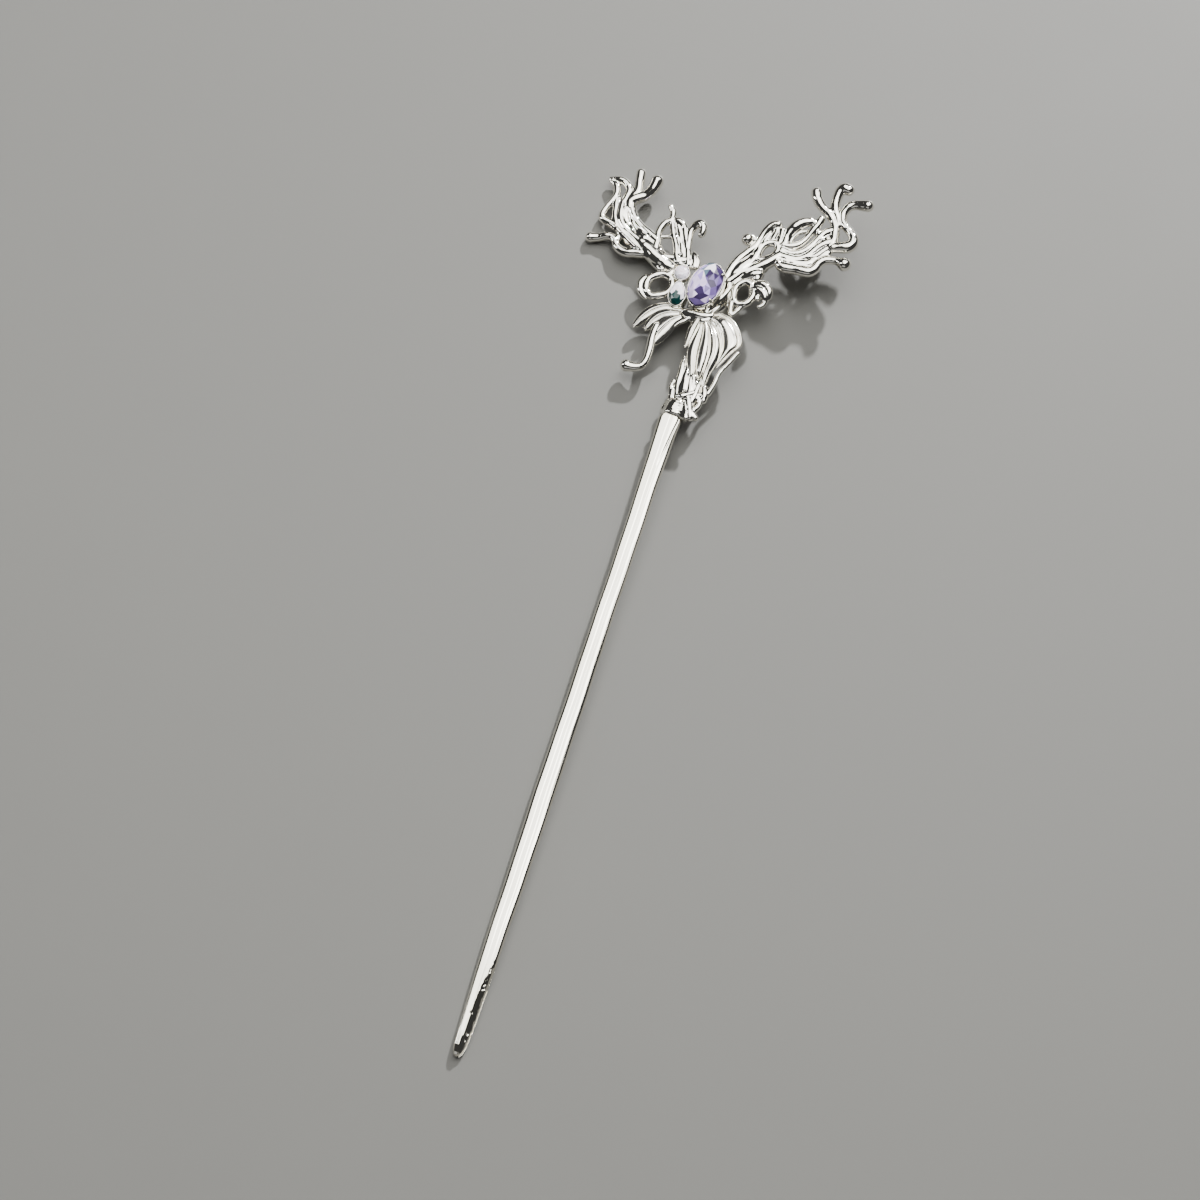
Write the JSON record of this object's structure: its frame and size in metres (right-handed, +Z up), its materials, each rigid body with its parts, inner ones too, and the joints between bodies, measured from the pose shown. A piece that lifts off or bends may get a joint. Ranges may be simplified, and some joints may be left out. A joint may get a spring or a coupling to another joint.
{
  "type": "decorative_hair_pin",
  "caption": "Silver-plated hair pin with a long flat tapering shaft, antler-like liquid-metal branches, ribbed petals and a violet oval stone beside clear stones.",
  "frame": {"origin": "centre of the flat face of the back plate, below the violet stone, on the surface the pin lies on", "axes": "+Y along the shaft from the tip to the antlers, +X to the right as seen from the front, +Z up out of the front of the head"},
  "size_m": [0.0498, 0.174, 0.0108],
  "materials": {
    "silver": "polished",
    "violet_stone": "polished",
    "clear_stone": "polished"
  },
  "bodies": {
    "root": {"pin_shaft": "silver", "neck_collar": "silver", "stem_bundle": "silver", "left_antler": "silver", "right_antler": "silver", "inner_twig": "silver", "left_ring": "silver", "right_ring": "silver", "right_bud": "silver", "left_tendril": "silver", "leaf_fan": "silver", "shell_petal": "silver", "petal_right": "silver", "petal_centre": "silver", "petal_left": "silver", "petal_long": "silver", "right_strand": "silver", "centre_boss": "silver", "back_plate": "silver", "oval_setting": "silver", "drop_setting": "silver", "round_setting": "silver", "violet_oval_stone": "violet_stone", "clear_drop_stone": "clear_stone", "clear_round_stone": "clear_stone"}
  },
  "joints": []
}
